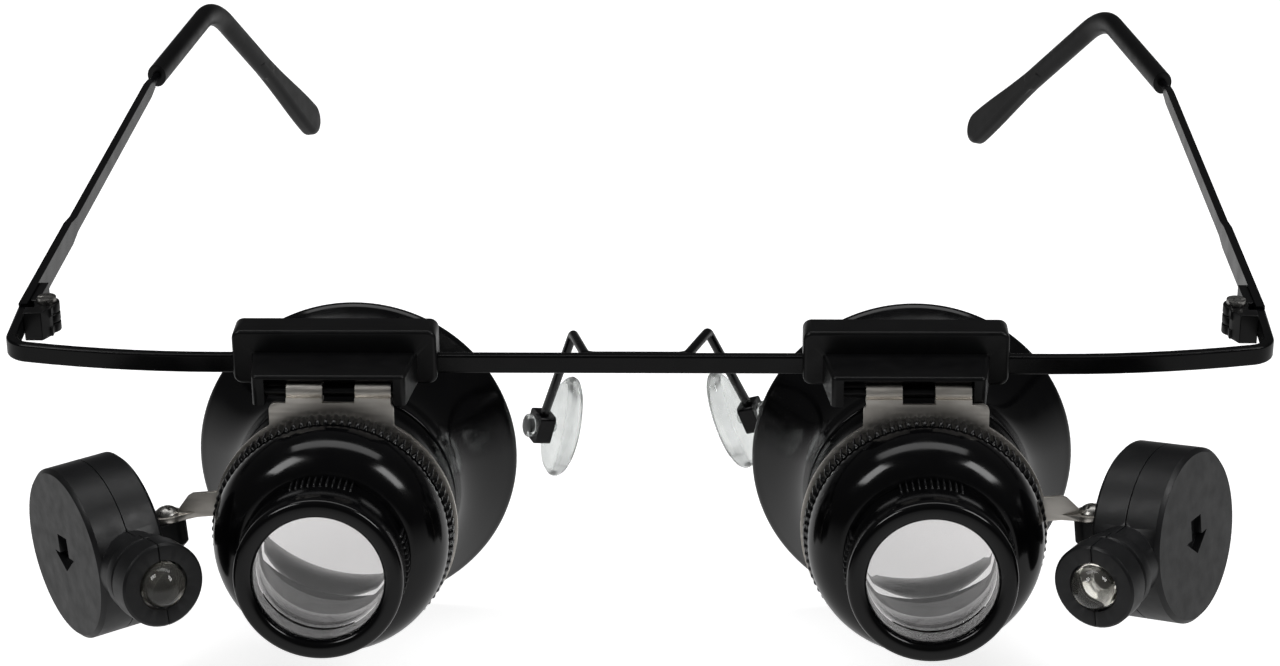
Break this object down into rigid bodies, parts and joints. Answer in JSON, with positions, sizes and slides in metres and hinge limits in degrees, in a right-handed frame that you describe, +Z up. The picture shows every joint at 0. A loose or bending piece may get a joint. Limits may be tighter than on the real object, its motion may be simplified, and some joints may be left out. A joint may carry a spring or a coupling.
{
  "type": "binocular eyeglass loupe",
  "caption": "Spectacle-frame loupe: flip-up magnifying eyepieces on sliding clips, each with a swivelling lamp on a side arm; folding temples and soft nose pads.",
  "frame": {"origin": "middle of the brow bar, on its centre line", "axes": "+X to the viewer's right when facing the front, +Y back along the temples to the wearer, +Z up"},
  "size_m": [0.1438, 0.1813, 0.041],
  "materials": {
    "frame_paint": "satin black paint",
    "hinge_black": "black, slightly worn",
    "steel": "plain steel",
    "nickel": "brushed nickel plate",
    "tip_plastic": "satin black",
    "clip_plastic": "satin black",
    "cup_plastic": "gloss black",
    "lamp_plastic": "matt charcoal",
    "lens_glass": "clear, polished",
    "led_epoxy": "clear epoxy",
    "silicone": "clear silicone",
    "cell_steel": "bright steel can",
    "brass": "plain brass strip"
  },
  "bodies": {
    "frame": {"brow_bar": "frame_paint", "nose_wire": "frame_paint", "hinge_leaf_front_left": "hinge_black", "hinge_screw_left": "steel", "pad_box_left": "frame_paint", "hinge_leaf_front_right": "hinge_black", "hinge_screw_right": "steel", "pad_box_right": "frame_paint"},
    "temple_left": {"temple_arm_left": "frame_paint", "temple_leaf_left": "hinge_black", "temple_tip_left": "tip_plastic"},
    "nose_pad_left": {"nose_pad_left": "silicone"},
    "clip_left": {"slider_body_left": "clip_plastic", "slider_cover_left": "clip_plastic", "slider_screws_left": "steel", "slider_spring_left": "steel", "flip_pin_left": "hinge_black"},
    "eyepiece_left": {"loupe_plate_left": "nickel", "eyecup_left": "cup_plastic", "knurled_cap_left": "cup_plastic", "objective_barrel_left": "cup_plastic", "front_lens_left": "lens_glass", "eye_lens_left": "lens_glass", "lens_spacer_left": "clip_plastic", "retaining_ring_left": "clip_plastic", "lamp_screw_left": "steel"},
    "lamp_left": {"lamp_outer_shell_left": "lamp_plastic", "lamp_inner_shell_left": "lamp_plastic", "lamp_led_left": "led_epoxy", "lamp_cells_left": "cell_steel", "lamp_contacts_left": "brass"},
    "temple_right": {"temple_arm_right": "frame_paint", "temple_leaf_right": "hinge_black", "temple_tip_right": "tip_plastic"},
    "nose_pad_right": {"nose_pad_right": "silicone"},
    "clip_right": {"slider_body_right": "clip_plastic", "slider_cover_right": "clip_plastic", "slider_screws_right": "steel", "slider_spring_right": "steel", "flip_pin_right": "hinge_black"},
    "eyepiece_right": {"loupe_plate_right": "nickel", "eyecup_right": "cup_plastic", "knurled_cap_right": "cup_plastic", "objective_barrel_right": "cup_plastic", "front_lens_right": "lens_glass", "eye_lens_right": "lens_glass", "lens_spacer_right": "clip_plastic", "retaining_ring_right": "clip_plastic", "lamp_screw_right": "steel"},
    "lamp_right": {"lamp_outer_shell_right": "lamp_plastic", "lamp_inner_shell_right": "lamp_plastic", "lamp_led_right": "led_epoxy", "lamp_cells_right": "cell_steel", "lamp_contacts_right": "brass"}
  },
  "joints": [
    {"name": "temple_fold_left", "type": "hinge", "parent": "frame", "child": "temple_left", "pos_m": [-0.0685, 0.013, 0], "axis": [0, 0, 1], "range_deg": [-80, 0]},
    {"name": "clip_slide_left", "type": "slide", "parent": "frame", "child": "clip_left", "axis": [1, 0, 0], "range_m": [-0.005, 0.003]},
    {"name": "eyepiece_flip_left", "type": "hinge", "parent": "clip_left", "child": "eyepiece_left", "pos_m": [-0.0332, -0.00715, -0.0002], "axis": [-1, 0, 0], "range_deg": [-6, 70]},
    {"name": "lamp_swivel_left", "type": "hinge", "parent": "eyepiece_left", "child": "lamp_left", "pos_m": [-0.05187, -0.01009, -0.01457], "axis": [-0.0837, 0.1093, 0.9905], "range_deg": [-50, 10]},
    {"name": "nose_pad_rock_left", "type": "hinge", "parent": "frame", "child": "nose_pad_left", "pos_m": [-0.0119, 0.0181, -0.0164], "axis": [0.4354, -0.8927, -0.1167], "range_deg": [-8, 8]},
    {"name": "temple_fold_right", "type": "hinge", "parent": "frame", "child": "temple_right", "pos_m": [0.0685, 0.013, 0], "axis": [0, 0, 1], "range_deg": [0, 80]},
    {"name": "clip_slide_right", "type": "slide", "parent": "frame", "child": "clip_right", "axis": [1, 0, 0], "range_m": [-0.0015, 0.005]},
    {"name": "eyepiece_flip_right", "type": "hinge", "parent": "clip_right", "child": "eyepiece_right", "pos_m": [0.0319, -0.00715, -0.0002], "axis": [-1, 0, 0], "range_deg": [-6, 70]},
    {"name": "lamp_swivel_right", "type": "hinge", "parent": "eyepiece_right", "child": "lamp_right", "pos_m": [0.05039, -0.01002, -0.01392], "axis": [-0.0976, 0.1092, 0.9892], "range_deg": [-10, 50]},
    {"name": "nose_pad_rock_right", "type": "hinge", "parent": "frame", "child": "nose_pad_right", "pos_m": [0.0133, 0.0181, -0.0149], "axis": [-0.2904, -0.9497, -0.1173], "range_deg": [-8, 8]}
  ]
}
